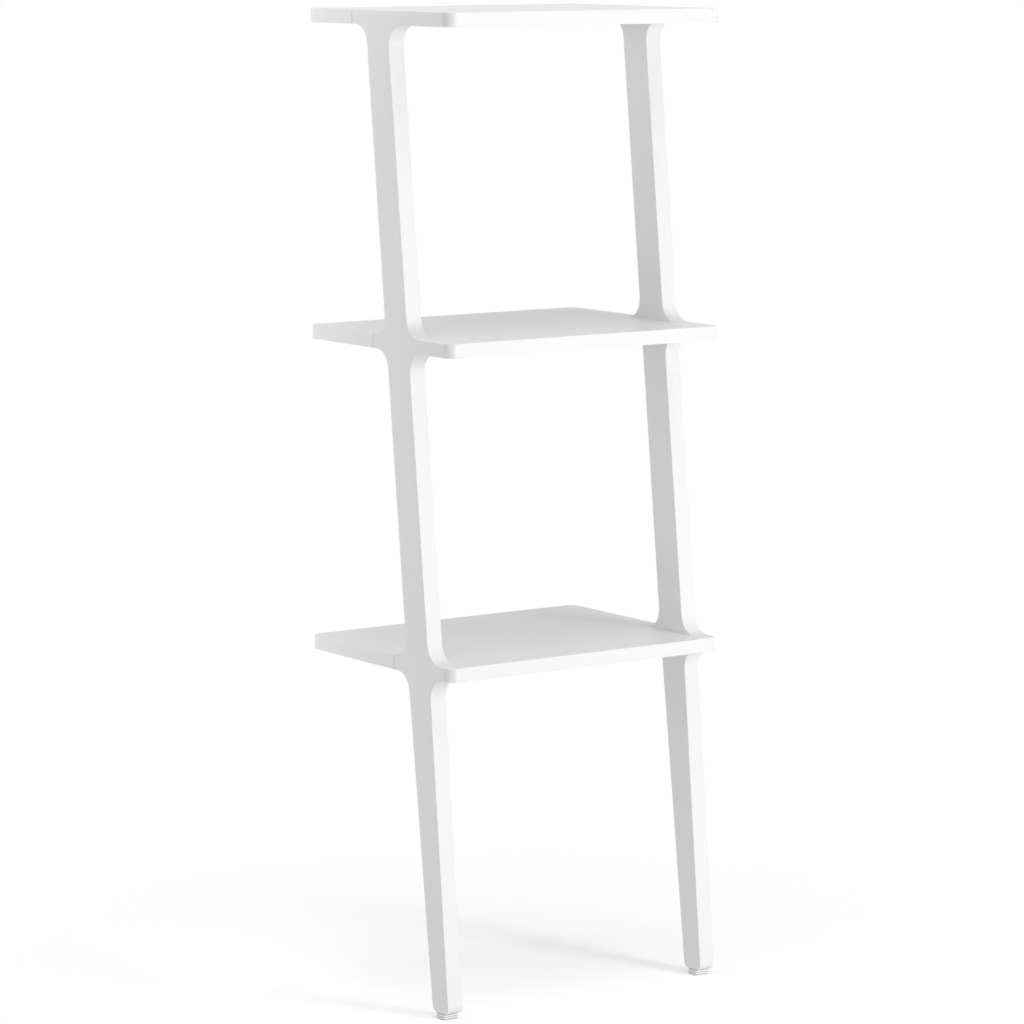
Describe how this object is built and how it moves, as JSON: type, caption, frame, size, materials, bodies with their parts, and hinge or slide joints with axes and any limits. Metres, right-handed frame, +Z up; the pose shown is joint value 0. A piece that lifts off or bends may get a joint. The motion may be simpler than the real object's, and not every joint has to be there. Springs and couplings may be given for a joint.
{
  "type": "ladder shelf",
  "caption": "Leaning ladder shelf: round-cornered shelves let into flat side frames, with tapering legs on ribbed glides and keyhole plates that tie the top shelf to the wall.",
  "frame": {"origin": "middle of the top shelf's back edge, where that edge rests on the wall", "axes": "+Z up, +Y into the wall, so that the open front faces -Y, +X to the right for someone facing the shelf"},
  "size_m": [0.52, 0.398, 1.556],
  "materials": {
    "white_lacquer": "satin white lacquer on smooth board",
    "beech": "raw fluted dowel",
    "zinc": "die-cast, dull",
    "steel": "zinc-plated, bright",
    "white_nylon": "moulded, matt"
  },
  "bodies": {
    "root": {"shelf_top": "white_lacquer", "shelf_middle": "white_lacquer", "shelf_bottom": "white_lacquer", "side_frame_left": "white_lacquer", "side_frame_right": "white_lacquer", "foot_glide_left": "white_nylon", "foot_glide_right": "white_nylon", "glide_screw_left": "steel", "glide_screw_right": "steel", "wall_plate_left": "steel", "wall_plate_right": "steel", "plate_screw_left_inner": "steel", "plate_screw_left_outer": "steel", "plate_screw_right_inner": "steel", "plate_screw_right_outer": "steel", "cam_bolt_top_left": "steel", "cam_bolt_top_right": "steel", "cam_bolt_middle_left": "steel", "cam_bolt_middle_right": "steel", "cam_bolt_bottom_left": "steel", "cam_bolt_bottom_right": "steel", "cam_lock_top_left": "zinc", "cam_lock_top_right": "zinc", "cam_lock_middle_left": "zinc", "cam_lock_middle_right": "zinc", "cam_lock_bottom_left": "zinc", "cam_lock_bottom_right": "zinc", "dowel_top_left_front": "beech", "dowel_top_left_rear": "beech", "dowel_top_right_front": "beech", "dowel_top_right_rear": "beech", "dowel_middle_left_front": "beech", "dowel_middle_left_rear": "beech", "dowel_middle_right_front": "beech", "dowel_middle_right_rear": "beech", "dowel_bottom_left_front": "beech", "dowel_bottom_left_rear": "beech", "dowel_bottom_right_front": "beech", "dowel_bottom_right_rear": "beech"}
  },
  "joints": []
}
